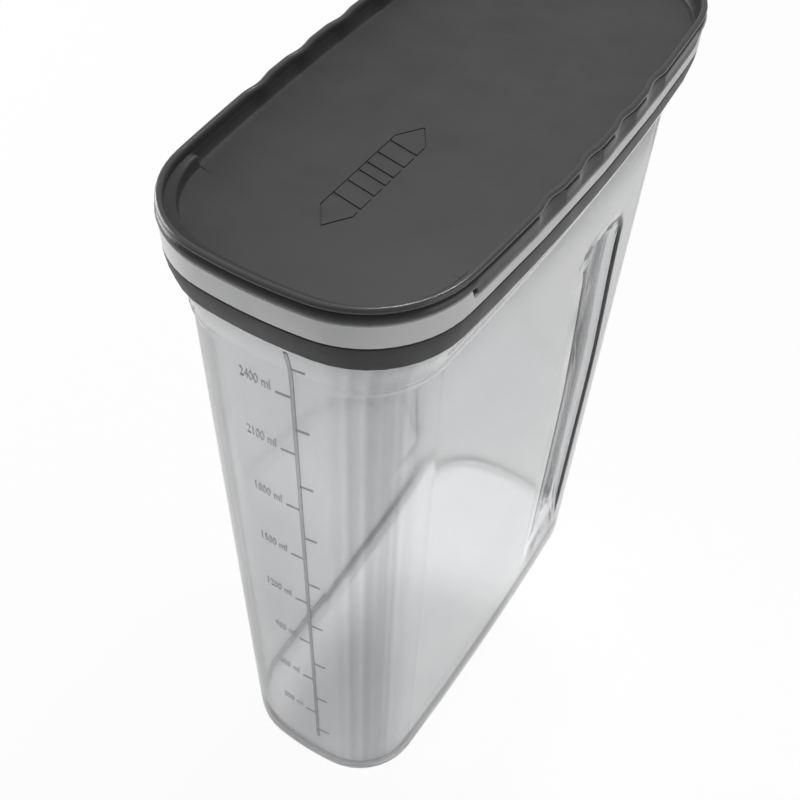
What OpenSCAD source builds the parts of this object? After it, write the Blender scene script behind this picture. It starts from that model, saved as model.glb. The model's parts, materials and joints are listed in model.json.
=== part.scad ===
// Tall pour container with a full-size flip lid, in millimetres.
// Origin at the centre of the resting face, +Z up, long way along Y, pour end at -Y, hinge end at +Y.

/* [Lid and ring outline] */
// overall width of the light ring, across X
ring_w = 92.5; // [86:0.5:100]
// overall length of the light ring, along Y
ring_l = 192.3; // [180:0.5:205]
// radius of the four corners of the ring
corner_r = 31; // [27:0.5:34]
// radius of the gentle bow of the two short ends
end_bow_r = 153; // [130:1:200]
// radius of the gentle bow of the two long sides
side_bow_r = 875; // [700:5:1200]

/* [Clear body] */
// width of the body at its base
base_w = 72.3; // [68:0.5:74]
// length of the body at its base
base_l = 175.7; // [165:0.5:180]
// width of the body under the flare
top_w = 78.6; // [76:0.5:81]
// length of the body under the flare
top_l = 183.5; // [178:0.5:185]
// wall thickness of the body
wall = 1.7; // [1.4:0.1:2.0]
// height of the top edge of the shoulder's bead, where the flare starts
flare_z = 231; // [226:0.5:234]
// how far the bead stands out at the corners and along the sides
bead_out = 0.85; // [0.3:0.05:1]
// height of the flare, from the bead up to the flange that carries the lid
flare_h = 10.1; // [7:0.1:13]
// how far the neck stands above the flange
neck_h = 5; // [4.4:0.1:5.4]
// thickness of the floor
floor_t = 2; // [1.6:0.1:2.6]
// height of the foot rim under the floor
foot_h = 1; // [0.8:0.1:1.4]

/* [Side grips of the body] */
// depth of the finger recess in each long side
grip_depth = 3.2; // [1.5:0.1:4]
// lower end of the recess
grip_bottom = 24; // [20:1:60]
// upper end of the recess
grip_top = 203; // [190:1:208]
// distance from the hinge end of the body to the recess's rear edge, near its top
grip_rear = 36.5; // [34:0.5:40]
// how much nearer to the hinge end that edge lies in the lower half
grip_shift = 8; // [0:0.5:8.5]
// length of the recess along the side
grip_l = 38; // [34:0.5:42]

/* [Seal collar and gasket] */
// height of the dark collar that shows
collar_h = 8.5; // [7.5:0.1:9.5]
// thickness of the soft gasket on the neck
gasket_t = 1.4; // [1:0.1:1.6]
// gap between the collar and the neck, and round the frame's inner wall
neck_gap = 0.3; // [0.25:0.05:0.4]

/* [Lid frame] */
// height of the light band at the two ends
band_end_h = 7.5; // [6.5:0.1:8]
// height of the light band along the sides
band_side_h = 4.3; // [3.8:0.1:4.6]
// thickness of the band
band_t = 2.2; // [2:0.1:2.4]
// thickness of the deck
deck_t = 1.6; // [1.4:0.1:1.8]
// distance from the ends of the ring to the steps of the band
step_in = 30; // [29.6:0.1:36]
// thickness of the wall that reaches down into the neck
spigot_t = 1.6; // [1.4:0.1:2]
// how far that wall reaches down from the deck
spigot_h = 5.3; // [4.5:0.1:6]
// width of the pour mouth
mouth_w = 58; // [50:1:60]
// length of the pour mouth
mouth_l = 53; // [44:1:54]
// distance from the pour end of the ring to the middle of the mouth
mouth_in = 40.2; // [38:0.1:46]
// height of the lip round the pour mouth
lip_h = 2.4; // [2.2:0.1:2.5]
// thickness of the lip
lip_t = 1.8; // [1.6:0.1:2]

/* [Flip lid] */
// thickness of the panel
panel_t = 1.8; // [1.6:0.1:2]
// height of the rim above the panel
rim_h = 6; // [5.6:0.1:6.2]
// how far the lid's wall stands out past the ring at its lower edge
rim_out = 0.45; // [0.2:0.05:0.6]
// radius of the round rail along the top of the rim
rail_r = 1; // [0.9:0.05:1.1]
// distance from the ring's outline in to the middle of the rail
rail_in = 0.95; // [0.9:0.05:1.1]
// depth of the finger scallops in the wall under the rail
scallop_depth = 1.3; // [0.8:0.1:1.4]
// depth of the waves that the rail makes over the scallops
wave_depth = 0.8; // [0.4:0.05:0.9]
// distance between neighbouring scallops
scallop_pitch = 20.5; // [19:0.1:21]
// width of one scallop
scallop_w = 14; // [12:0.1:16]
// how far the ledge at the pour end stands in
ledge_in = 3; // [2:0.1:3.4]
// distance from the top of the rail down to the ledge
ledge_drop = 2.9; // [2.6:0.1:3.2]
// depth of the arrow's grooves
groove_d = 0.35; // [0.2:0.05:0.5]
// distance from the pour end of the ring to the arrow's front head
arrow_in = 37.5; // [34:0.5:44]

/* [Hinge] */
// radius of the hinge pins
pin_r = 1.2; // [1:0.05:1.3]
// gap round the pin in the lid's knuckles
pin_gap = 0.06; // [0.04:0.01:0.09]
// radius of the knuckles
knuckle_r = 3.3; // [3.1:0.05:3.3]
// gap between a knuckle and its ears
ear_gap = 0.3; // [0.3:0.05:0.4]
// thickness of one hinge ear
ear_t = 3.2; // [3:0.1:3.4]
// inner face of the ear nearest the middle
ear_x = 5.2; // [5:0.1:6]
// width of a knuckle between its two ears
knuckle_w = 5.6; // [5.2:0.1:6]

/* [Hidden] */
eps = 0.01;
flange_z = flare_z + flare_h;
ring_z = flange_z + collar_h;
neck_z = flange_z + neck_h;
deck_z = neck_z + gasket_t + 1.3;
deck_top = deck_z + deck_t;
band_end_z = ring_z + band_end_h;
band_side_z = ring_z + band_side_h;
lip_z = deck_top + lip_h;
seal_t = 1.2;
panel_z0 = lip_z + seal_t;
panel_z = panel_z0 + panel_t;
crest_z = panel_z + rim_h;
skirt_z = band_side_z + 0.3;
spigot_z = deck_z - spigot_h;
hinge_y = ring_l / 2 + rim_out - knuckle_r;
hinge_z = panel_z0 + knuckle_r;
notch_z = panel_z0 - 0.6;
knuckle_x = ear_x + ear_t + ear_gap;
ear2_x = knuckle_x + knuckle_w + ear_gap;
pin_l = ear2_x + ear_t - ear_x;
step_y = ring_l / 2 - step_in;
mouth_y = mouth_in - ring_l / 2;
arrow_y = arrow_in - ring_l / 2;

// An outline is [half width, half length, side bow radius, end bow radius, corner radius].
main_o = [ring_w / 2, ring_l / 2, side_bow_r, end_bow_r, corner_r];
collar_o = [ring_w / 2 - 1.3, ring_l / 2 - 1.7, side_bow_r, end_bow_r - 2, corner_r - 1.6];
flange_o = inset(collar_o, 0.9);
neck_o = inset(flange_o, 1.95);
throat_o = inset(neck_o, wall);
spigot_o = inset(throat_o, 0.4);
mouth_o = [mouth_w / 2, mouth_l / 2, 300, 90, 15];

function inset(o, d) = [for (i = [0:4]) o[i] - d];
function mix(p, q, t) = [for (i = [0:4]) p[i] + (q[i] - p[i]) * t];
function smooth(t) = let (c = min(1, max(0, t))) c * c * (3 - 2 * c);

// Points round an outline, anticlockwise from the lower end of the +X side.
// along holds where the points of a long side lie, from -1 to 1.
function outline(o, along, nc, ne) =
  let (
    sx = o[0] - o[2],
    ey = o[1] - o[3],
    d = norm([sx, ey]),
    e = [-sx, ey] / d,
    r1 = o[2] - o[4],
    r2 = o[3] - o[4],
    x = (d * d + r1 * r1 - r2 * r2) / (2 * d),
    h = sqrt(r1 * r1 - x * x),
    c = [sx, 0] + x * e + h * [-e[1], e[0]],
    t1 = atan2(c[1], c[0] - sx),
    t2 = atan2(c[1] - ey, c[0]),
    yt = o[2] * sin(t1),
    side = [for (u = along) [sx + sqrt(o[2] * o[2] - u * yt * u * yt), u * yt]],
    corner = [for (i = [1:nc - 1]) let (t = t1 + (t2 - t1) * i / nc) c + o[4] * [cos(t), sin(t)]],
    tip = [for (i = [0:ne]) let (t = t2 + (180 - 2 * t2) * i / ne) [o[3] * cos(t), ey + o[3] * sin(t)]],
    back = [for (i = [nc - 2:-1:0]) [-corner[i][0], corner[i][1]]],
    far = [for (i = [len(side) - 1:-1:0]) [-side[i][0], side[i][1]]],
    cap = concat(corner, tip, back)
  )
  concat(side, cap, far, [for (p = cap) -p]);

function ring(o, z, along, nc = 9, ne = 5) = [for (p = outline(o, along, nc, ne)) [p[0], p[1], z]];

plain = [-1, -0.75, -0.5, -0.25, 0, 0.25, 0.5, 0.75, 1];

// A closed solid through rings that have the same number of points each.
module loft(rings) {
  n = len(rings[0]);
  m = len(rings);
  last = (m - 1) * n;
  sides = [for (j = [0:m - 2]) for (i = [0:n - 1])
    let (k = (i + 1) % n) [j * n + i, (j + 1) * n + i, (j + 1) * n + k, j * n + k]];
  start = [for (i = [0:n - 1]) i];
  end = [for (i = [n - 1:-1:0]) last + i];
  polyhedron(points = [for (r = rings) each r], faces = concat([start], sides, [end]), convexity = 10);
}

// A ring of flat walls between two outlines, standing on z.
module hoop(outer, inner, z, h) {
  p = outline(outer, plain, 9, 5);
  q = outline(inner, plain, 9, 5);
  n = len(p);
  translate([0, 0, z])
    linear_extrude(h)
      polygon(points = concat(p, q), paths = [[for (i = [0:n - 1]) i], [for (i = [0:n - 1]) n + i]]);
}

// ---- clear body ----
// Where the recess's rear edge lies at a height.
function grip_edge(z) =
  body_o(z)[1] - grip_rear + grip_shift * smooth((grip_top - 5 - z) / 86);

// Depth of the finger recess at a place on a long side. It deepens slowly towards its sharp rear edge.
function grip(y, z) =
  let (
    q = grip_edge(z) - y,
    top = grip_top - 0.061 * pow(max(0, 14.5 - q), 2) - 0.16 * pow(max(0, q - 26.5), 2),
    along = smooth((grip_l - q) / 28) * smooth(q / 4)
  )
  grip_depth * along * smooth((top - z) / 7) * smooth((z - grip_bottom) / 14);

// Places of a ring's points along a long side: close together where the recess bends.
function body_along(o, z) =
  let (end = outline(o, [1], 2, 1)[0][1])
  concat([-1, -0.6, -0.2], [for (q = [46, 38, 34, 30, 26, 22, 18, 14, 10, 6, 4, 3.2, 2.4, 1.6, 0.8, 0])
    (grip_edge(z) - q) / end], [1]);

function smooth_ring(o, z) = ring(o, z, body_along(o, z));

function body_ring(o, z) = [for (p = smooth_ring(o, z))
  let (side = abs(p[0]) > o[0] * 0.8 ? 1 : 0) [p[0] - sign(p[0]) * side * grip(p[1], z), p[1], z]];

// The bead at a place on the shoulder: full along the sides and corners, gone in the middle of the ends.
function bead_ring(share, z) = [for (p = smooth_ring(body_o(z), z))
  let (out = share * bead_out * smooth((abs(p[0]) - 17) / 12)) [p[0] + out * p[0] / norm([p[0], p[1] * 0.4]),
    p[1] + out * p[1] * 0.4 / norm([p[0], p[1] * 0.4]), z]];

function body_o(z) = mix(
  [base_w / 2, base_l / 2, 1495, 113, 24.7],
  [top_w / 2, top_l / 2, 1495, 115, 26.2],
  z / flare_z);

wall_z = [5, 16, 24, 30.5, 38, 70, 112, 130, 150, 170, 182, 185, 188, 190.5, 193, 195.5, 198, 200.5, 203, 206,
  flare_z - 4];

module container_body() {
  floor_z = foot_h + floor_t;
  mid_z = (flare_z + flange_z - 1.2) / 2;
  up = [for (z = wall_z) body_ring(body_o(z), z)];
  low = [for (i = [len(wall_z) - 1:-1:1]) body_ring(inset(body_o(wall_z[i]), wall), wall_z[i])];
  color([0.86, 0.88, 0.89, 0.35])
    loft(concat(
      [
        smooth_ring(inset(body_o(0), 6.4), foot_h),
        smooth_ring(inset(body_o(0), 5.2), 0),
        smooth_ring(inset(body_o(0), 2.4), 0),
        smooth_ring(inset(body_o(0), 0.8), 0.7),
        smooth_ring(inset(body_o(2.2), 0.15), 2.2)
      ],
      up,
      [
        bead_ring(0.4, flare_z - 2.7),
        bead_ring(0.9, flare_z - 2),
        bead_ring(1, flare_z - 1.2),
        bead_ring(1, flare_z - 0.4),
        bead_ring(0.8, flare_z),
        smooth_ring(mix(body_o(flare_z), flange_o, 0.3), mid_z - 1.8),
        smooth_ring(mix(body_o(flare_z), flange_o, 0.65), mid_z + 1.2),
        smooth_ring(flange_o, flange_z - 1.2),
        smooth_ring(flange_o, flange_z),
        smooth_ring(neck_o, flange_z),
        smooth_ring(neck_o, neck_z),
        smooth_ring(throat_o, neck_z),
        smooth_ring(throat_o, flange_z - 1),
        smooth_ring(inset(mix(body_o(flare_z), flange_o, 0.4), wall + 0.6), flare_z + 3.6)
      ],
      low,
      [
        smooth_ring(inset(body_o(9), wall), 9),
        smooth_ring(inset(body_o(6), wall + 0.4), 6),
        smooth_ring(inset(body_o(4), wall + 1.6), floor_z + 0.9),
        smooth_ring(inset(body_o(3), wall + 4), floor_z)
      ]
    ));
}

// ---- dark collar between the body and the light ring ----
module seal_collar() {
  bore = inset(neck_o, -neck_gap);
  color([0.27, 0.28, 0.29])
    difference() {
      loft([
        ring(collar_o, flange_z, plain),
        ring(mix(collar_o, main_o, 0.85), flange_z + collar_h * 0.6, plain),
        ring(main_o, ring_z - 0.4, plain),
        ring(inset(main_o, 0.3), ring_z, plain)
      ]);
      // room for the neck and the gasket
      translate([0, 0, flange_z - 1])
        linear_extrude(1 + neck_h + gasket_t)
          polygon(outline(bore, plain, 9, 5));
      // room for the wall of the lid frame
      translate([0, 0, flange_z - 1])
        linear_extrude(20)
          polygon(outline(inset(spigot_o, -neck_gap), plain, 9, 5));
      // rebate for the deck of the lid frame
      translate([0, 0, deck_z])
        linear_extrude(10)
          polygon(outline(inset(main_o, band_t), plain, 9, 5));
    }
}

// ---- soft gasket that the neck presses on ----
module rim_gasket() {
  color([0.55, 0.56, 0.57])
    hoop(inset(neck_o, -neck_gap), inset(spigot_o, -neck_gap), neck_z, gasket_t);
}

// ---- light ring with the deck and the pour mouth ----
frame_along = [-1, -0.985, -0.97, -0.955, -0.94, -0.9, -0.5, 0, 0.5, 0.9, 0.94, 0.955, 0.97, 0.985, 1];

// Height of the band's top edge: high at both ends, low along the sides, and low again behind the hinge.
function band_z(p) =
  let (
    side = band_side_z + (band_end_z - band_side_z) * smooth((abs(p[1]) - step_y + 0.6) / 1.2),
    cut = p[1] > 0 ? smooth((32 - abs(p[0])) / 1.6) * (abs(p[1]) > 80 ? 1 : 0) : 0
  )
  side + (notch_z - side) * cut;

function band_ring(o, dz) = [for (p = outline(o, frame_along, 14, 8)) [p[0], p[1], band_z(p) + dz]];

function at(o, z) = ring(o, z, frame_along, 14, 8);

module hinge_ear(x) {
  translate([x, hinge_y, hinge_z])
    rotate([0, 90, 0])
      cylinder(r = knuckle_r - 0.2, h = ear_t, $fn = 48);
  translate([x, hinge_y - knuckle_r + 0.4, deck_top - 0.4])
    cube([ear_t, 2 * knuckle_r - 1.7, hinge_z - deck_top + 0.4]);
}

module lid_frame() {
  side_o = inset(main_o, band_t + 0.1);
  color([0.84, 0.85, 0.86])
    difference() {
      union() {
        loft([
          at(inset(spigot_o, spigot_t), deck_z),
          at(inset(spigot_o, spigot_t), spigot_z),
          at(inset(spigot_o, 0.5), spigot_z),
          at(spigot_o, spigot_z + 0.8),
          at(spigot_o, deck_z),
          at(side_o, deck_z),
          at(side_o, ring_z),
          at(inset(main_o, 0.2), ring_z),
          at(main_o, ring_z + 0.3),
          band_ring(main_o, -0.5),
          band_ring(inset(main_o, 0.5), 0),
          band_ring(inset(main_o, band_t), 0),
          at(inset(main_o, band_t), deck_top + 0.8),
          at(inset(main_o, band_t + 0.8), deck_top)
        ]);
        // lip round the pour mouth
        translate([0, mouth_y, 0])
          hoop(inset(mouth_o, -lip_t), mouth_o, deck_z + 0.3, lip_z - deck_z - 0.3);
        for (s = [-1, 1])
          for (x = [ear_x, ear2_x])
            hinge_ear(s > 0 ? x : -x - ear_t);
      }
      // pour mouth
      translate([0, mouth_y, deck_z - 2])
        linear_extrude(20)
          polygon(outline(mouth_o, plain, 9, 5));
      // bores of the hinge ears
      for (s = [-1, 1])
        translate([s > 0 ? ear_x - 1 : -ear_x - pin_l - 1, hinge_y, hinge_z])
          rotate([0, 90, 0])
            cylinder(r = pin_r, h = pin_l + 2, $fn = 48);
    }
}

// ---- dark flip lid ----
half_scallop = [0.2, 0.4, 0.58, 0.75, 0.9, 1];
lid_span = outline(main_o, [1], 2, 1)[0][1];
function scallop_side(c) = [for (i = [-6:6])
  (c + (i == 0 ? 0 : sign(i) * half_scallop[abs(i) - 1]) * scallop_w / 2) / lid_span];
lid_half = concat(
  scallop_side(scallop_pitch / 2),
  [scallop_pitch / lid_span],
  scallop_side(scallop_pitch * 1.5),
  [0.64, 0.78, 0.9, 0.93, 0.945, 0.955, 0.965, 0.975, 0.985, 1]);
lid_along = concat([for (i = [len(lid_half) - 1:-1:0]) -lid_half[i]], [0], lid_half);

// How far a place along a side is from the middle of its scallop, 1 at the scallop's edge and beyond.
function off_scallop(y) = min([for (k = [0.5, 1.5]) min(1, abs(abs(y) - k * scallop_pitch) / (scallop_w / 2))]);

// One ring of the lid, d outside the ring's outline. cut and wave are shares of the scallops' and the waves'
// depths, low drops the skirt along the sides, ledge moves the pour end in.
function lid_ring(d, z, cut = 0, wave = 0, low = 0, ledge = 0) = [for (p = outline(inset(main_o, -d), lid_along, 14, 8))
  let (
    side = abs(p[1]) < step_y ? 1 : 0,
    u = off_scallop(p[1]),
    bite = side * (cut * scallop_depth * pow(cos(90 * u), 0.7) + wave * wave_depth * (1 + cos(180 * u)) / 2),
    drop = low * smooth((step_y - 0.5 - abs(p[1])) / 1.4),
    shelf = ledge * smooth((-p[1] - step_y + 3) / 2.5),
    q = [p[0] - sign(p[0]) * bite, p[1]]
  )
  [q[0] * (1 - shelf / norm(q)), q[1] * (1 - shelf / norm(q)), z - drop]];

// A ring on the round rail, at an angle up from its outermost line.
function rail_ring(a) = lid_ring(rail_r * cos(a) - rail_in, crest_z - rail_r * (1 - sin(a)), 0, 1);

// A stroke cut into the panel, from p to q.
module stroke(p, q, width) {
  v = q - p;
  translate([p[0], p[1], panel_z - groove_d])
    rotate([0, 0, atan2(v[1], v[0])])
      translate([0, -width / 2, 0])
        cube([norm(v), width, groove_d + 1]);
}

module arrow_head(y, s) {
  stroke([-4.8, y], [0, y + s * 7.2], 0.4);
  stroke([4.8, y], [0, y + s * 7.2], 0.4);
}

module flip_lid() {
  drop = band_end_z - skirt_z;
  side_clear = band_t + 0.35;
  color([0.29, 0.3, 0.31])
    difference() {
      union() {
        loft([
          lid_ring(-7.5, panel_z0),
          lid_ring(-side_clear, panel_z0),
          lid_ring(-side_clear + 0.1, band_end_z, 0, 0, drop - 1.2),
          lid_ring(-1.5, band_end_z, 0, 0, drop),
          lid_ring(0, band_end_z, 0.1, 0, drop),
          lid_ring(rim_out - 0.1, band_end_z + 0.5, 0.35, 0, drop),
          lid_ring(rim_out, band_end_z + 1.1, 0.6, 0, drop * 0.55),
          lid_ring(rim_out - 0.3, crest_z - 2.7, 1),
          lid_ring(-0.15, crest_z - 2.35, 1),
          lid_ring(-0.6, crest_z - 2.05, 0.9, 0.1),
          rail_ring(-60),
          rail_ring(-25),
          rail_ring(5),
          rail_ring(38),
          rail_ring(72),
          rail_ring(105),
          rail_ring(138),
          rail_ring(172),
          lid_ring(-rail_in - rail_r - 0.05, crest_z - ledge_drop + 0.3, 0, 0.9),
          lid_ring(-rail_in - rail_r - 0.15, crest_z - ledge_drop, 0, 0.8, 0, ledge_in - 0.6),
          lid_ring(-rail_in - rail_r - 0.35, crest_z - ledge_drop - 0.5, 0, 0.6, 0, ledge_in - 0.1),
          lid_ring(-2.8, panel_z + 0.5, 0, 0.25, 0, ledge_in - 0.4),
          lid_ring(-3.2, panel_z, 0, 0.2, 0, ledge_in - 0.5),
          lid_ring(-9, panel_z)
        ]);
        // knuckle bar
        translate([-ear2_x - ear_t - 4.5, hinge_y, hinge_z])
          rotate([0, 90, 0])
            cylinder(r = knuckle_r, h = 2 * (ear2_x + ear_t + 4.5), $fn = 48);
        // two ribs that hold the soft spout seal
        translate([0, mouth_y, 0])
          hoop(inset(mouth_o, -lip_t - 1.15), inset(mouth_o, -lip_t - 0.15), panel_z0 - 0.7, 1);
        translate([0, mouth_y, 0])
          hoop(inset(mouth_o, 0.15), inset(mouth_o, 1.15), panel_z0 - 0.7, 1);
      }
      // gaps for the hinge ears, cut through the rim behind the panel
      for (s = [-1, 1])
        for (x = [ear_x, ear2_x])
          translate([(s > 0 ? x : -x - ear_t) - ear_gap, hinge_y - knuckle_r - 0.25, panel_z0 - 3])
            cube([ear_t + 2 * ear_gap, 20, 20]);
      // what would stand behind the knuckle bar
      translate([-ear2_x - ear_t - 1, hinge_y, panel_z0 - 3])
        difference() {
          cube([2 * (ear2_x + ear_t + 1), 20, 20]);
          translate([-1, 0, 3 + knuckle_r])
            rotate([0, 90, 0])
              cylinder(r = knuckle_r, h = 80, $fn = 48);
        }
      // running bores of the knuckles
      for (s = [-1, 1])
        translate([s > 0 ? ear_x - ear_gap : -ear_x - pin_l - ear_gap, hinge_y, hinge_z])
          rotate([0, 90, 0])
            cylinder(r = pin_r + pin_gap, h = pin_l + 2 * ear_gap, $fn = 48);
      // double-headed arrow with six slanting grooves
      arrow_head(arrow_y, -1);
      arrow_head(arrow_y + 34.8, 1);
      for (x = [-4.8, 4.8])
        stroke([x, arrow_y - 0.1], [x, arrow_y + 34.9], 0.3);
      for (y = [4, 10.3, 15.5, 19.4, 24.6, 30.8])
        stroke([-4.8, arrow_y + y + 1], [4.8, arrow_y + y - 1], 1.5);
    }
}

// ---- soft seal round the pour mouth ----
module spout_seal() {
  color([0.75, 0.76, 0.77])
    translate([0, mouth_y, 0])
      hoop(inset(mouth_o, -lip_t - 0.15), inset(mouth_o, 0.15), lip_z, seal_t);
}

// ---- hinge pins ----
module hinge_pin(x) {
  color([0.72, 0.73, 0.75])
    translate([x, hinge_y, hinge_z])
      rotate([0, 90, 0])
        cylinder(r = pin_r, h = pin_l, $fn = 48);
}

module hinge_pin_left() {
  hinge_pin(-ear_x - pin_l);
}

module hinge_pin_right() {
  hinge_pin(ear_x);
}

container_body();
seal_collar();
rim_gasket();
lid_frame();
flip_lid();
spout_seal();
hinge_pin_left();
hinge_pin_right();
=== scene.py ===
import json
import math

import bpy
from mathutils import Euler, Matrix, Vector

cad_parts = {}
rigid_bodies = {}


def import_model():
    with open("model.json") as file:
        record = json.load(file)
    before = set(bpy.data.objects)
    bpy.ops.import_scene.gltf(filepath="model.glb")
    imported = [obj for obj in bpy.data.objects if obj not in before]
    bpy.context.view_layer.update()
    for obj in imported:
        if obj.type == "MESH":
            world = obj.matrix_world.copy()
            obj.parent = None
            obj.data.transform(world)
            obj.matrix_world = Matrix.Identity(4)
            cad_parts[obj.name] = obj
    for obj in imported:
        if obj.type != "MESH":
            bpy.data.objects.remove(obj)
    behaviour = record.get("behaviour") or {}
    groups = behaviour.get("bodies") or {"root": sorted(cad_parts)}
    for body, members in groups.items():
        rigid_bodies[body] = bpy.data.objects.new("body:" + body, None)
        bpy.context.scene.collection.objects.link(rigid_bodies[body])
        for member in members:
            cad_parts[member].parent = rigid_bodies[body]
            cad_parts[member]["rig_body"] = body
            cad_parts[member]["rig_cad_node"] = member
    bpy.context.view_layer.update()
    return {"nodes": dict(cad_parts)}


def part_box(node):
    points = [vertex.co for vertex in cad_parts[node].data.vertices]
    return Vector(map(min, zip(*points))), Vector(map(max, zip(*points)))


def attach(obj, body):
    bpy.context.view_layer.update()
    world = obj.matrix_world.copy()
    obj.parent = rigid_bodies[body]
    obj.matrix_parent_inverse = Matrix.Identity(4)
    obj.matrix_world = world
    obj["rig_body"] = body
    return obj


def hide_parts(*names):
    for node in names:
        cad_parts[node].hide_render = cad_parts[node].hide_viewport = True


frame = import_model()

MM = 0.001

# ---- clear body ----
# One injection moulding in clear, faintly smoky plastic: tapering walls with a finger recess in
# each long side, a shoulder bead, a flange for the lid and a foot rim. It stands on its foot rim.

BODY_TINT = (0.93, 0.932, 0.935, 1)
BODY_TINT_DEEP = (0.88, 0.883, 0.888, 1)
BODY_SMOKE = (0.50, 0.505, 0.515, 1)
BODY_SMOKE_DENSITY = 170
# Painted reflection: darker upright streaks in the two front corners, on the front half only.
REFLECTION_STREAK_DEEP = 0.70
REFLECTION_STREAK_PALE = 1.0
REFLECTION_STREAKS_END_AT = 0
# Painted shade along the foot of the clear body.
FOOT_SHADE_TINT = (0.3, 0.3, 0.31, 1)
FOOT_SHADE_TOP = 5 * MM
FOOT_SHADE_FULL = 1.5 * MM
FLOW_WAVE_DEPTH = 0.05 * MM


def pick(obj):
    """Selects one object alone and makes it the active one."""
    bpy.ops.object.select_all(action="DESELECT")
    obj.select_set(True)
    bpy.context.view_layer.objects.active = obj


def keep_flats(obj):
    """Turns the normals so that large flat faces look flat up to their edges."""
    pick(obj)
    bpy.ops.object.modifier_add(type="WEIGHTED_NORMAL")
    obj.modifiers[-1].mode = "FACE_AREA"
    obj.modifiers[-1].keep_sharp = True
    bpy.ops.object.modifier_apply(modifier=obj.modifiers[-1].name)


def joined_copy(node, piece, smooth_angle, join_distance=0.004 * MM):
    """A copy of a CAD node's loose triangles, joined into one skin that light runs smoothly over."""
    pick(frame["nodes"][node])
    bpy.ops.object.duplicate()
    copy = bpy.context.object
    copy.name = piece
    copy.data.name = piece
    del copy["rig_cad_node"]
    copy.data.materials.clear()
    bpy.ops.mesh.customdata_custom_splitnormals_clear()
    bpy.ops.object.mode_set(mode="EDIT")
    bpy.ops.mesh.select_all(action="SELECT")
    bpy.ops.mesh.remove_doubles(threshold=join_distance)
    bpy.ops.mesh.tris_convert_to_quads(face_threshold=math.radians(4), shape_threshold=math.radians(60))
    bpy.ops.object.mode_set(mode="OBJECT")
    bpy.ops.object.shade_smooth_by_angle(angle=math.radians(smooth_angle))
    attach(copy, frame["nodes"][node]["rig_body"])
    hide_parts(node)
    return copy


def new_material(name):
    """A material with its shader, and one place to read Object coordinates from."""
    material = bpy.data.materials.new(name)
    material.use_nodes = True
    nodes = material.node_tree.nodes
    coords = nodes.new("ShaderNodeTexCoord")
    return material, nodes, material.node_tree.links, nodes["Principled BSDF"], coords.outputs["Object"]


def noise(nodes, links, place, scale, detail=3.0, roughness=0.5):
    """Soft noise at so many waves per metre."""
    made = nodes.new("ShaderNodeTexNoise")
    made.inputs["Scale"].default_value = scale
    made.inputs["Detail"].default_value = detail
    made.inputs["Roughness"].default_value = roughness
    links.new(place, made.inputs["Vector"])
    return made.outputs["Fac"]


def spread(nodes, links, value, low, high):
    """Maps a noise, which stays mostly between 0.3 and 0.7, onto the range from low to high."""
    made = nodes.new("ShaderNodeMapRange")
    made.inputs["From Min"].default_value = 0.3
    made.inputs["From Max"].default_value = 0.7
    made.inputs["To Min"].default_value = low
    made.inputs["To Max"].default_value = high
    links.new(value, made.inputs["Value"])
    return made.outputs["Result"]


def two_tone(nodes, links, value, first, second):
    """A colour that drifts from the first to the second with a noise."""
    ramp = nodes.new("ShaderNodeValToRGB")
    ramp.color_ramp.elements[0].position = 0.35
    ramp.color_ramp.elements[0].color = first
    ramp.color_ramp.elements[1].position = 0.65
    ramp.color_ramp.elements[1].color = second
    links.new(value, ramp.inputs["Fac"])
    return ramp.outputs["Color"]


def bumps(nodes, links, value, depth):
    """Turns a noise into a relief of that depth in metres."""
    made = nodes.new("ShaderNodeBump")
    made.inputs["Strength"].default_value = 1.0
    made.inputs["Distance"].default_value = depth
    links.new(value, made.inputs["Height"])
    return made.outputs["Normal"]


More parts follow.
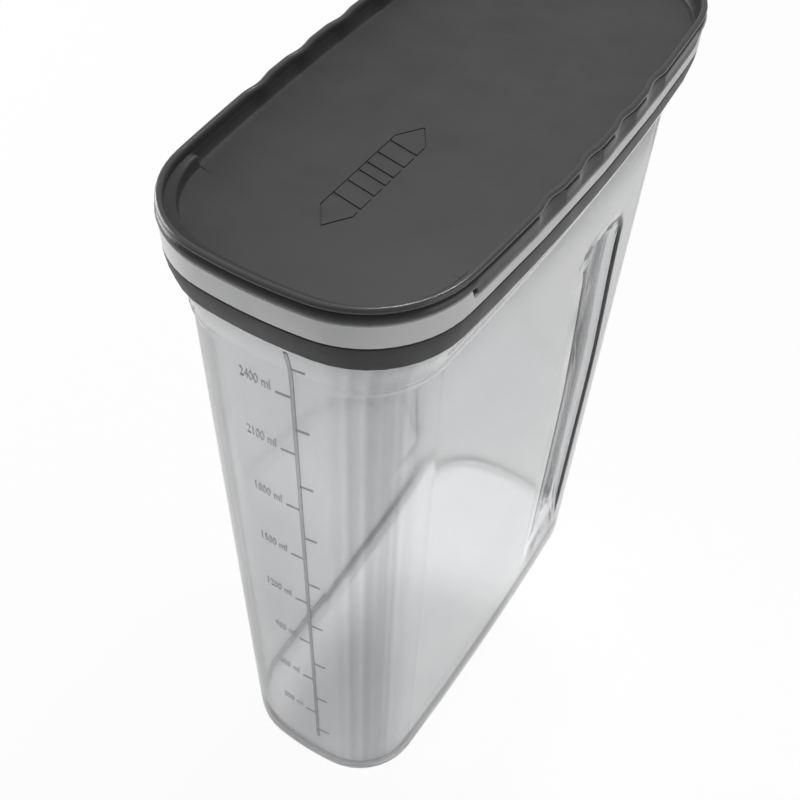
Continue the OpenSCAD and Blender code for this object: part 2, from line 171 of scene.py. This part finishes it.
def corner_streaks(nodes, links, colour):
    """Painted reflection streaks, darker upright bands in the two front corners, and painted shade along the
    foot.
    """
    facing = nodes.new("ShaderNodeMapping")
    facing.inputs["Scale"].default_value = (1, 1, 0)
    coords = nodes["Texture Coordinate"]
    links.new(coords.outputs["Normal"], facing.inputs["Vector"])
    reflection_streak_noise = noise(nodes, links, facing.outputs["Vector"], 6, 1.5)
    parts = nodes.new("ShaderNodeSeparateXYZ")
    links.new(facing.outputs["Vector"], parts.inputs["Vector"])
    turned = nodes.new("ShaderNodeMath")
    turned.operation = "MULTIPLY"
    links.new(parts.outputs["X"], turned.inputs[0])
    links.new(parts.outputs["Y"], turned.inputs[1])
    corner = nodes.new("ShaderNodeMath")
    corner.operation = "ABSOLUTE"
    links.new(turned.outputs["Value"], corner.inputs[0])
    share = nodes.new("ShaderNodeMapRange")
    share.inputs["From Min"].default_value = 0.2
    share.inputs["From Max"].default_value = 0.4
    links.new(corner.outputs["Value"], share.inputs["Value"])
    where = nodes.new("ShaderNodeSeparateXYZ")
    links.new(coords.outputs["Object"], where.inputs["Vector"])
    # Only the front half, ahead of the middle, gets the painted streaks.
    front_half = nodes.new("ShaderNodeMath")
    front_half.operation = "LESS_THAN"
    front_half.inputs[1].default_value = REFLECTION_STREAKS_END_AT
    links.new(where.outputs["Y"], front_half.inputs[0])
    front = nodes.new("ShaderNodeMath")
    front.operation = "MULTIPLY"
    links.new(share.outputs["Result"], front.inputs[0])
    links.new(front_half.outputs["Value"], front.inputs[1])
    made = nodes.new("ShaderNodeMix")
    made.data_type = "RGBA"
    made.blend_type = "MULTIPLY"
    links.new(front.outputs["Value"], made.inputs["Factor"])
    links.new(colour, made.inputs["A"])
    links.new(spread(nodes, links, reflection_streak_noise, REFLECTION_STREAK_DEEP, REFLECTION_STREAK_PALE), made.inputs["B"])
    # Painted shade: upright faces darken from 5 mm above the floor to full shade below 1.5 mm.
    foot = nodes.new("ShaderNodeMapRange")
    foot.inputs["From Min"].default_value = FOOT_SHADE_TOP
    foot.inputs["From Max"].default_value = FOOT_SHADE_FULL
    links.new(where.outputs["Z"], foot.inputs["Value"])
    level = nodes.new("ShaderNodeVectorMath")
    level.operation = "LENGTH"
    links.new(facing.outputs["Vector"], level.inputs[0])
    outside = nodes.new("ShaderNodeMapRange")
    outside.inputs["From Min"].default_value = 0.3
    outside.inputs["From Max"].default_value = 0.7
    links.new(level.outputs["Value"], outside.inputs["Value"])
    line = nodes.new("ShaderNodeMath")
    line.operation = "MULTIPLY"
    links.new(foot.outputs["Result"], line.inputs[0])
    links.new(outside.outputs["Result"], line.inputs[1])
    foot_shaded = nodes.new("ShaderNodeMix")
    foot_shaded.data_type = "RGBA"
    foot_shaded.blend_type = "MULTIPLY"
    foot_shaded.inputs["B"].default_value = FOOT_SHADE_TINT
    links.new(line.outputs["Value"], foot_shaded.inputs["Factor"])
    links.new(made.outputs["Result"], foot_shaded.inputs["A"])
    return foot_shaded.outputs["Result"]


def clear_plastic(name, tint, deep_tint, rough_low, rough_high):
    """Clear moulded plastic: glossy, with slow flow waves that bend what is seen through it."""
    material, nodes, links, shader, place = new_material(name)
    shader.inputs["Transmission Weight"].default_value = 1.0
    shader.inputs["IOR"].default_value = 1.5
    flow = noise(nodes, links, place, 14, 1.0)
    drifting = two_tone(nodes, links, flow, tint, deep_tint)
    # The drifting tint gets painted reflection streaks in the front corners and painted shade along the foot.
    links.new(corner_streaks(nodes, links, drifting), shader.inputs["Base Color"])
    haze = noise(nodes, links, place, 60, 4.0)
    links.new(spread(nodes, links, haze, rough_low, rough_high), shader.inputs["Roughness"])
    links.new(bumps(nodes, links, flow, FLOW_WAVE_DEPTH), shader.inputs["Normal"])
    smoke = nodes.new("ShaderNodeVolumeAbsorption")
    smoke.inputs["Color"].default_value = BODY_SMOKE
    smoke.inputs["Density"].default_value = BODY_SMOKE_DENSITY
    links.new(smoke.outputs["Volume"], nodes["Material Output"].inputs["Volume"])
    return material


body_shell = joined_copy("container_body", "body_shell", 40)
keep_flats(body_shell)
body_shell.data.materials.append(clear_plastic("smoky_clear_plastic", BODY_TINT, BODY_TINT_DEEP, 0.02, 0.06))
body_shell.visible_shadow = False

# ---- level scale ----
# The fill scale on the short face is moulded in low relief in clear plastic tinted greyer than the body: an
# upright line, a mark every 150 ml and a number at every second mark.

SCALE_X = 7.65 * MM
SCALE_LEAN = 0.0033
SCALE_LOW = 22 * MM
SCALE_HIGH = 239 * MM
SCALE_LINE_WIDTH = 1.2 * MM
MARK_THICKNESS = 0.6 * MM
NUMBER_MARKS = ((2400, 220.7), (2100, 197.5), (1800, 172.0), (1500, 146.4),
                (1200, 120.5), (900, 94.3), (600, 67.9), (300, 41.4))
HALF_MARKS = (232.3, 208.7, 184.0, 158.7, 133.1, 107.2, 81.0, 54.6, 28.0)
NUMBER_SIZE = 5.2 * MM
NUMBER_NARROWED = 0.62
NUMBER_THINNED = -0.04 * MM
NUMBER_RIGHT_EDGE = 1.3 * MM
NUMBER_DROP = 0.5
NUMBER_MARK_X = 4.9 * MM
NUMBER_MARK_LENGTH = 4.4 * MM
HALF_MARK_X = 10.2 * MM
HALF_MARK_LENGTH = 4.2 * MM
MARK_LEAN = -0.06
RELIEF_HEIGHT = 0.25 * MM
RELIEF_ROOT = 0.03 * MM
RELIEF_TINT = (0.66, 0.663, 0.668, 1)
RELIEF_TINT_DEEP = (0.58, 0.583, 0.588, 1)
IN_FRONT = -120 * MM


def flat_bar(centre_x, centre_z, width, height, lean, cuts_x, cuts_z):
    """A flat bar that stands in front of the short face and faces away from it."""
    bpy.ops.object.select_all(action="DESELECT")
    bpy.ops.mesh.primitive_grid_add(x_subdivisions=cuts_x, y_subdivisions=cuts_z, size=1)
    bar = bpy.context.object
    bar.scale = (width, height, 1)
    bar.rotation_euler = (math.pi / 2, lean, 0)
    bar.location = (centre_x, IN_FRONT, centre_z)
    bpy.ops.object.transform_apply(location=True, rotation=True, scale=True)
    return bar


scale_middle = (SCALE_LOW + SCALE_HIGH) / 2
scale_length = SCALE_HIGH - SCALE_LOW
scale_parts = [flat_bar(SCALE_X, scale_middle, SCALE_LINE_WIDTH, scale_length, SCALE_LEAN, 2, 60)]
for number, height in NUMBER_MARKS:
    scale_parts.append(
        flat_bar(NUMBER_MARK_X, height * MM, NUMBER_MARK_LENGTH, MARK_THICKNESS, MARK_LEAN, 6, 2))
    bpy.ops.object.select_all(action="DESELECT")
    bpy.ops.object.text_add()
    label = bpy.context.object
    label.data.body = str(number) + " ml"
    label.data.size = NUMBER_SIZE
    label.data.align_x = "RIGHT"
    label.data.offset = NUMBER_THINNED
    bpy.ops.object.convert(target="MESH")
    label = bpy.context.object
    label.scale = (NUMBER_NARROWED, 1, 1)
    label.rotation_euler = (math.pi / 2, 0, 0)
    label.location = (NUMBER_RIGHT_EDGE, IN_FRONT, (height - NUMBER_DROP) * MM)
    bpy.ops.object.transform_apply(location=True, rotation=True, scale=True)
    scale_parts.append(label)
for height in HALF_MARKS:
    scale_parts.append(
        flat_bar(HALF_MARK_X, height * MM, HALF_MARK_LENGTH, MARK_THICKNESS, MARK_LEAN, 6, 2))
bpy.ops.object.select_all(action="DESELECT")
for part in scale_parts:
    part.select_set(True)
bpy.context.view_layer.objects.active = scale_parts[0]
bpy.ops.object.join()
level_scale = bpy.context.object
level_scale.name = "level_scale"
level_scale.data.name = "level_scale"
bpy.ops.object.modifier_add(type="SHRINKWRAP")
level_scale.modifiers[-1].target = body_shell
level_scale.modifiers[-1].wrap_method = "PROJECT"
level_scale.modifiers[-1].use_project_y = True
level_scale.modifiers[-1].use_positive_direction = True
bpy.ops.object.modifier_apply(modifier=level_scale.modifiers[-1].name)
bpy.ops.object.modifier_add(type="SOLIDIFY")
level_scale.modifiers[-1].thickness = RELIEF_HEIGHT + RELIEF_ROOT
level_scale.modifiers[-1].offset = 0.8
bpy.ops.object.modifier_apply(modifier=level_scale.modifiers[-1].name)
bpy.ops.object.shade_smooth_by_angle(angle=math.radians(30))
relief = clear_plastic("relief_clear_plastic", RELIEF_TINT, RELIEF_TINT_DEEP, 0.1, 0.16)
level_scale.data.materials.clear()
level_scale.data.materials.append(relief)
level_scale.visible_shadow = False
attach(level_scale, frame["nodes"]["container_body"]["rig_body"])

# ---- seal collar ----
# The dark collar is moulded in a matt, slightly soft plastic. It sits on the body's flange and
# grips the neck, and its outside is the dark stripe under the light ring.

COLLAR_TONE = (0.012, 0.0123, 0.0126, 1)
COLLAR_TONE_PALE = (0.016, 0.0164, 0.0167, 1)
# The crest band that is painted paler, as a painted highlight, lies this far above the rim's polish height.
CREST_HIGHLIGHT_LOW = 3.4 * MM
CREST_HIGHLIGHT_HIGH = 5.0 * MM


def moulded_plastic(name, tone, pale_tone, rough_low, rough_high, grain, wear_and_highlight,
                    polish_and_highlight=0.0, polish_from=0.0):
    """Opaque moulded plastic: a tone that drifts, fine spark-eroded grain, and sloping edges rubbed paler,
    partly wear and partly painted highlight. Above the height polish_from it is polished by that share, and a
    band near its crest is painted paler by that share as a painted highlight."""
    material, nodes, links, shader, place = new_material(name)
    shader.inputs["IOR"].default_value = 1.5
    clouds = noise(nodes, links, place, 35, 4.0)
    tone_out = two_tone(nodes, links, clouds, tone, pale_tone)
    edge = nodes.new("ShaderNodeNewGeometry").outputs["Pointiness"]
    # Convex sloping edges are rubbed paler: wear, and where the share is high, painted highlight too.
    edge_wear_and_highlight = nodes.new("ShaderNodeMapRange")
    edge_wear_and_highlight.inputs["From Min"].default_value = 0.52
    edge_wear_and_highlight.inputs["From Max"].default_value = 0.62
    edge_wear_and_highlight.inputs["To Max"].default_value = wear_and_highlight
    links.new(edge, edge_wear_and_highlight.inputs["Value"])
    height = nodes.new("ShaderNodeSeparateXYZ")
    links.new(place, height.inputs["Vector"])
    # Painted highlight: a band near the crest is painted paler.
    crest_highlight = nodes.new("ShaderNodeMapRange")
    crest_highlight.inputs["From Min"].default_value = polish_from + CREST_HIGHLIGHT_LOW
    crest_highlight.inputs["From Max"].default_value = polish_from + CREST_HIGHLIGHT_HIGH
    crest_highlight.inputs["To Max"].default_value = polish_and_highlight
    links.new(height.outputs["Z"], crest_highlight.inputs["Value"])
    facing = nodes.new("ShaderNodeSeparateXYZ")
    links.new(nodes["Texture Coordinate"].outputs["Normal"], facing.inputs["Vector"])
    lying = nodes.new("ShaderNodeMath")
    lying.operation = "ABSOLUTE"
    links.new(facing.outputs["Z"], lying.inputs[0])
    sloping = nodes.new("ShaderNodeMapRange")
    sloping.inputs["From Min"].default_value = 0.999
    sloping.inputs["From Max"].default_value = 0.98
    links.new(lying.outputs["Value"], sloping.inputs["Value"])
    kept = nodes.new("ShaderNodeMath")
    kept.operation = "MULTIPLY"
    links.new(edge_wear_and_highlight.outputs["Result"], kept.inputs[0])
    links.new(sloping.outputs["Result"], kept.inputs[1])
    wear_and_highlight_share = nodes.new("ShaderNodeMath")
    wear_and_highlight_share.operation = "MAXIMUM"
    links.new(kept.outputs["Value"], wear_and_highlight_share.inputs[0])
    links.new(crest_highlight.outputs["Result"], wear_and_highlight_share.inputs[1])
    worn_and_highlit = nodes.new("ShaderNodeMix")
    worn_and_highlit.data_type = "RGBA"
    worn_and_highlit.inputs["B"].default_value = [min(1.0, v * 1.9 + 0.03) for v in pale_tone[:3]] + [1]
    links.new(wear_and_highlight_share.outputs["Value"], worn_and_highlit.inputs["Factor"])
    links.new(tone_out, worn_and_highlit.inputs["A"])
    links.new(worn_and_highlit.outputs["Result"], shader.inputs["Base Color"])
    scuffs = noise(nodes, links, place, 90, 5.0, 0.6)
    matt = spread(nodes, links, scuffs, rough_low, rough_high)
    gloss = nodes.new("ShaderNodeMapRange")
    gloss.inputs["From Min"].default_value = polish_from
    gloss.inputs["From Max"].default_value = polish_from + 1.5 * MM
    gloss.inputs["To Min"].default_value = 1.0
    gloss.inputs["To Max"].default_value = 1.0 - polish_and_highlight
    links.new(height.outputs["Z"], gloss.inputs["Value"])
    finish = nodes.new("ShaderNodeMath")
    finish.operation = "MULTIPLY"
    links.new(matt, finish.inputs[0])
    links.new(gloss.outputs["Result"], finish.inputs[1])
    links.new(finish.outputs["Value"], shader.inputs["Roughness"])
    fine = noise(nodes, links, place, 5200, 2.0)
    links.new(bumps(nodes, links, fine, grain), shader.inputs["Normal"])
    return material


def soften_edges(obj, width, angle=35, segments=2):
    """Rounds the sharp edges as the mould does."""
    pick(obj)
    bpy.ops.object.modifier_add(type="BEVEL")
    bevel = obj.modifiers[-1]
    bevel.width = width
    bevel.segments = segments
    bevel.limit_method = "ANGLE"
    bevel.angle_limit = math.radians(angle)
    bevel.use_clamp_overlap = True
    bpy.ops.object.modifier_apply(modifier=bevel.name)
    bpy.ops.object.shade_smooth_by_angle(angle=math.radians(angle))
    keep_flats(obj)


collar = joined_copy("seal_collar", "collar_shell", 40)
soften_edges(collar, 0.15 * MM)
collar.data.materials.append(
    moulded_plastic("dark_collar_plastic", COLLAR_TONE, COLLAR_TONE_PALE, 0.42, 0.55, 0.004 * MM, 0.25))

# ---- rim gasket ----
# A flat ring of soft pale grey silicone, punched from sheet. It lies on top of the body's neck,
# inside the collar, and the lid frame presses on it.

GASKET_TONE = (0.36, 0.365, 0.37, 1)
GASKET_TONE_PALE = (0.44, 0.445, 0.45, 1)


def soft_silicone(name, tone, pale_tone):
    """Soft silicone: waxy, with a dusty bloom and a faint skin."""
    material, nodes, links, shader, place = new_material(name)
    shader.inputs["IOR"].default_value = 1.42
    shader.inputs["Sheen Weight"].default_value = 0.15
    dust = noise(nodes, links, place, 70, 5.0)
    links.new(two_tone(nodes, links, dust, tone, pale_tone), shader.inputs["Base Color"])
    links.new(spread(nodes, links, dust, 0.55, 0.72), shader.inputs["Roughness"])
    skin = noise(nodes, links, place, 2600, 3.0)
    links.new(bumps(nodes, links, skin, 0.006 * MM), shader.inputs["Normal"])
    return material


silicone = soft_silicone("soft_grey_silicone", GASKET_TONE, GASKET_TONE_PALE)
gasket = joined_copy("rim_gasket", "gasket_ring", 40)
soften_edges(gasket, 0.2 * MM)
gasket.data.materials.append(silicone)

# ---- lid frame ----
# The light ring, the deck, the raised pour mouth and the four hinge ears are one moulding in pale
# grey plastic. It presses into the collar and the neck.

RING_TONE = (0.66, 0.663, 0.667, 1)
RING_TONE_PALE = (0.71, 0.713, 0.717, 1)

lid_ring = joined_copy("lid_frame", "lid_ring", 40)
soften_edges(lid_ring, 0.15 * MM)
lid_ring.data.materials.append(
    moulded_plastic("pale_ring_plastic", RING_TONE, RING_TONE_PALE, 0.32, 0.45, 0.003 * MM, 0.2))

# ---- hinge pins ----
# Two short pins of drawn stainless wire, pressed into the ears of the lid frame. The lid's
# knuckles turn on them.

PIN_TONE = (0.55, 0.56, 0.58, 1)
PIN_TONE_PALE = (0.68, 0.69, 0.71, 1)


def drawn_steel(name, tone, pale_tone):
    """Drawn steel wire: long fine scratches along the pin, which lies along X."""
    material, nodes, links, shader, place = new_material(name)
    shader.inputs["Metallic"].default_value = 1.0
    along = nodes.new("ShaderNodeMapping")
    along.inputs["Scale"].default_value = (0.04, 1, 1)
    links.new(place, along.inputs["Vector"])
    streaks = noise(nodes, links, along.outputs["Vector"], 9000, 3.0)
    links.new(two_tone(nodes, links, streaks, tone, pale_tone), shader.inputs["Base Color"])
    links.new(spread(nodes, links, streaks, 0.22, 0.38), shader.inputs["Roughness"])
    links.new(bumps(nodes, links, streaks, 0.003 * MM), shader.inputs["Normal"])
    return material


steel = drawn_steel("drawn_pin_steel", PIN_TONE, PIN_TONE_PALE)
for side in ("left", "right"):
    pin = joined_copy("hinge_pin_" + side, "wire_pin_" + side, 40)
    soften_edges(pin, 0.15 * MM)
    pin.data.materials.append(steel)

# ---- flip lid ----
# The lid is one moulding in dark grey plastic: a recessed panel with an engraved arrow, a raised
# rim with finger scallops, and the knuckle bar. It turns on the two pins.

LID_TONE = (0.040, 0.0404, 0.0409, 1)
LID_TONE_PALE = (0.046, 0.0464, 0.0469, 1)
# The rim's top is polished, and a band near its crest is painted paler as a painted highlight.
RIM_POLISH_AND_HIGHLIGHT = 0.5
RIM_POLISH_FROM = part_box("flip_lid")[1][2] - 5.2 * MM

lid = joined_copy("flip_lid", "lid_shell", 38)
keep_flats(lid)
# The lid's edges are rubbed paler more strongly than the other parts, partly as painted highlight.
lid.data.materials.append(
    moulded_plastic("dark_lid_plastic", LID_TONE, LID_TONE_PALE, 0.42, 0.52, 0.004 * MM, 0.6,
                    RIM_POLISH_AND_HIGHLIGHT, RIM_POLISH_FROM))

# ---- spout seal ----
# A soft ring of the same silicone as the gasket, held between two ribs under the lid. It closes
# on the lip of the pour mouth.

seal = joined_copy("spout_seal", "mouth_seal", 40)
soften_edges(seal, 0.2 * MM)
seal.data.materials.append(silicone)

# ---- studio ----
# A plain white floor and backdrop, soft lamps on both sides and above, and the camera at the
# height and angle from which the container is looked down on.


def white_surface(name, colour, to_eye, to_gloss, through_walls):
    """A pale matt surface that keeps its shadows; each share says how much of it shows as plain white."""
    material, nodes, links, shader, place = new_material(name)
    nodes.remove(shader)
    path = nodes.new("ShaderNodeLightPath")
    total = None
    shares = {"Is Camera Ray": to_eye, "Is Glossy Ray": to_gloss, "Is Transmission Ray": through_walls}
    for output, share in shares.items():
        part = nodes.new("ShaderNodeMath")
        part.operation = "MULTIPLY"
        part.inputs[1].default_value = share
        links.new(path.outputs[output], part.inputs[0])
        if total is None:
            total = part.outputs["Value"]
            continue
        most = nodes.new("ShaderNodeMath")
        most.operation = "MAXIMUM"
        links.new(total, most.inputs[0])
        links.new(part.outputs["Value"], most.inputs[1])
        total = most.outputs["Value"]
    matt = nodes.new("ShaderNodeBsdfDiffuse")
    matt.inputs["Color"].default_value = colour
    light = nodes.new("ShaderNodeEmission")
    light.inputs["Color"].default_value = (1, 1, 1, 1)
    light.inputs["Strength"].default_value = 1.0
    both = nodes.new("ShaderNodeMixShader")
    links.new(total, both.inputs["Fac"])
    links.new(matt.outputs["BSDF"], both.inputs[1])
    links.new(light.outputs["Emission"], both.inputs[2])
    links.new(both.outputs["Shader"], nodes["Material Output"].inputs["Surface"])
    return material


FLOOR_SIZE = 8.0
bpy.ops.object.select_all(action="DESELECT")
bpy.ops.mesh.primitive_plane_add(size=FLOOR_SIZE, location=(0, 0, 0))
floor = bpy.context.object
floor.name = "studio_floor"
floor.data.materials.append(white_surface("studio_white", (0.80, 0.80, 0.80, 1), 0.93, 0.3, 0.0))

LOOK_AT = Vector((0, 0, 0.18))


def soft_lamp(name, place, size, power):
    """A square soft box that faces the container."""
    bpy.ops.object.light_add(type="AREA", location=place)
    lamp = bpy.context.object
    lamp.name = name
    lamp.data.size = size
    lamp.data.energy = power
    lamp.rotation_euler = (LOOK_AT - Vector(place)).to_track_quat("-Z", "Y").to_euler()


soft_lamp("lamp_above", (-0.18, 0.56, 1.75), 0.15, 10)
soft_lamp("lamp_behind", (0.25, 0.85, 1.75), 0.15, 7)
soft_lamp("lamp_right", (1.25, 0.15, 0.45), 0.9, 2.5)
soft_lamp("lamp_left", (-1.25, -0.1, 0.45), 0.8, 13)

SKY_LIGHT = 0.24
world = bpy.context.scene.world or bpy.data.worlds.new("studio_world")
bpy.context.scene.world = world
world.use_nodes = True
sky = world.node_tree.nodes["Background"]
sky.inputs["Color"].default_value = (1, 1, 1, 1)
sky_path = world.node_tree.nodes.new("ShaderNodeLightPath")
sky_share = world.node_tree.nodes.new("ShaderNodeMapRange")
sky_share.inputs["To Min"].default_value = SKY_LIGHT
sky_share.inputs["To Max"].default_value = 1.0
sky_seen = world.node_tree.nodes.new("ShaderNodeMath")
sky_seen.operation = "MAXIMUM"
world.node_tree.links.new(sky_path.outputs["Is Camera Ray"], sky_seen.inputs[0])
world.node_tree.links.new(sky_path.outputs["Is Transmission Ray"], sky_seen.inputs[1])
world.node_tree.links.new(sky_seen.outputs["Value"], sky_share.inputs["Value"])
world.node_tree.links.new(sky_share.outputs["Result"], sky.inputs["Strength"])

CAMERA_PLACE = (0.1300, -0.2459, 0.4341)
CAMERA_YAW = 0.577
CAMERA_DOWN = 0.888
CAMERA_ROLL = 0.006
FOCAL_PIXELS = 1130.7
PICTURE_SIZE = 800
VIEW_CENTRE = (362.5, 467.8)

bpy.ops.object.camera_add()
camera = bpy.context.object
camera.name = "photo_camera"
aim = Euler((math.pi / 2 - CAMERA_DOWN, 0, CAMERA_YAW)).to_matrix()
camera.matrix_world = Matrix.Translation(CAMERA_PLACE) @ (aim @ Matrix.Rotation(CAMERA_ROLL, 3, "Z")).to_4x4()
camera.data.sensor_width = 36
camera.data.lens = FOCAL_PIXELS / PICTURE_SIZE * camera.data.sensor_width
camera.data.shift_x = (PICTURE_SIZE / 2 - VIEW_CENTRE[0]) / PICTURE_SIZE
camera.data.shift_y = (VIEW_CENTRE[1] - PICTURE_SIZE / 2) / PICTURE_SIZE
camera.data.clip_start = 0.02
bpy.context.scene.camera = camera
bpy.context.scene.view_settings.view_transform = "Standard"
